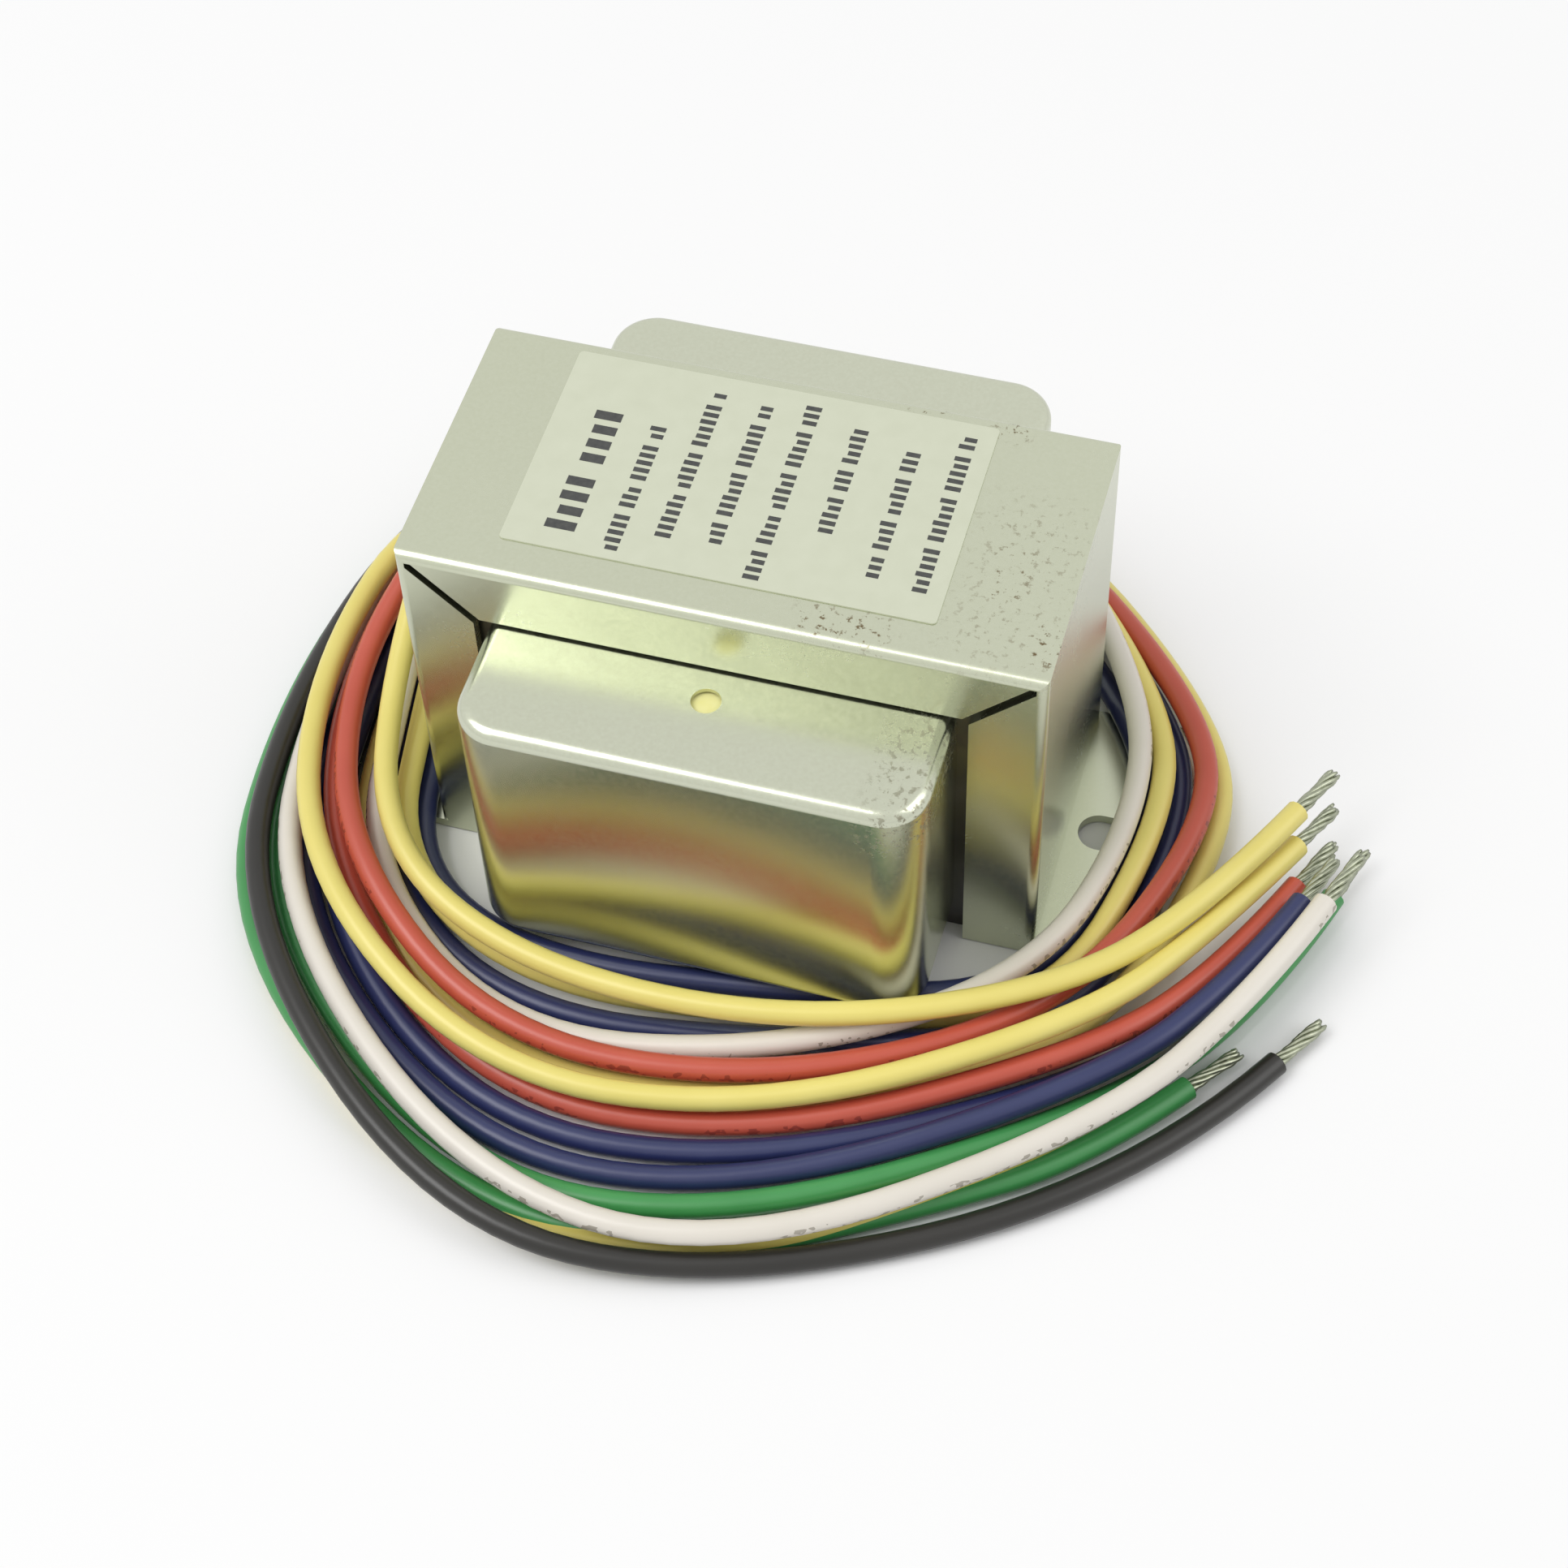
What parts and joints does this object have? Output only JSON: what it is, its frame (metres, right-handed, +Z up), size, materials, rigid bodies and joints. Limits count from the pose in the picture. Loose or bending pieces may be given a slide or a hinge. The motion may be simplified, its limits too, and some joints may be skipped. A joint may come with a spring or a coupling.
{
  "type": "low-voltage transformer",
  "caption": "Laminated transformer in a folded steel channel frame with slotted feet, drawn end covers and insulated leads coiled round its base.",
  "frame": {"origin": "bottom centre of the frame, on the surface that the feet stand on", "axes": "+X along the two feet, +Y from the front cover to the rear cover, +Z up"},
  "size_m": [0.1259, 0.1222, 0.0472],
  "materials": {
    "plated_steel": "satin zinc plate",
    "core_steel": "dark varnish over silicon steel",
    "bobbin_nylon": "moulded nylon",
    "magnet_wire": "enamelled copper wire",
    "polyester_tape": "polyester film tape",
    "copper_foil": "bare copper foil",
    "cutoff_case": "moulded case",
    "sleeve_glass": "woven glass sleeve",
    "bushing_nylon": "moulded nylon",
    "label_film": null,
    "insulation_yellow": "satin PVC insulation",
    "insulation_red": "satin PVC insulation",
    "insulation_blue": "satin PVC insulation",
    "insulation_white": "satin PVC insulation",
    "insulation_green": "satin PVC insulation",
    "insulation_striped": "satin PVC insulation, green with a yellow stripe",
    "insulation_black": "satin PVC insulation",
    "tinned_copper": "tinned copper strands"
  },
  "bodies": {
    "root": {"channel_frame": "plated_steel", "core_e_laminations": "core_steel", "core_i_laminations": "core_steel", "bobbin": "bobbin_nylon", "primary_winding": "magnet_wire", "primary_tape": "polyester_tape", "shield_foil": "copper_foil", "shield_tape": "polyester_tape", "secondary_winding_a": "magnet_wire", "secondary_tape": "polyester_tape", "secondary_winding_b": "magnet_wire", "outer_tape": "polyester_tape", "thermal_cutoff": "cutoff_case", "splice_sleeves": "sleeve_glass", "front_cover": "plated_steel", "rear_cover": "plated_steel", "side_lead_bushing": "bushing_nylon", "back_lead_bushing": "bushing_nylon", "rating_label": "label_film", "yellow_a_lead": "insulation_yellow", "yellow_a_lead_tip": "tinned_copper", "yellow_b_lead": "insulation_yellow", "yellow_b_lead_tip": "tinned_copper", "red_lead": "insulation_red", "red_lead_tip": "tinned_copper", "blue_a_lead": "insulation_blue", "blue_a_lead_tip": "tinned_copper", "blue_b_lead": "insulation_blue", "blue_b_lead_tip": "tinned_copper", "white_lead": "insulation_white", "white_lead_tip": "tinned_copper", "green_lead": "insulation_green", "green_lead_tip": "tinned_copper", "striped_lead": "insulation_striped", "striped_lead_tip": "tinned_copper", "black_lead": "insulation_black", "black_lead_tip": "tinned_copper"}
  },
  "joints": []
}
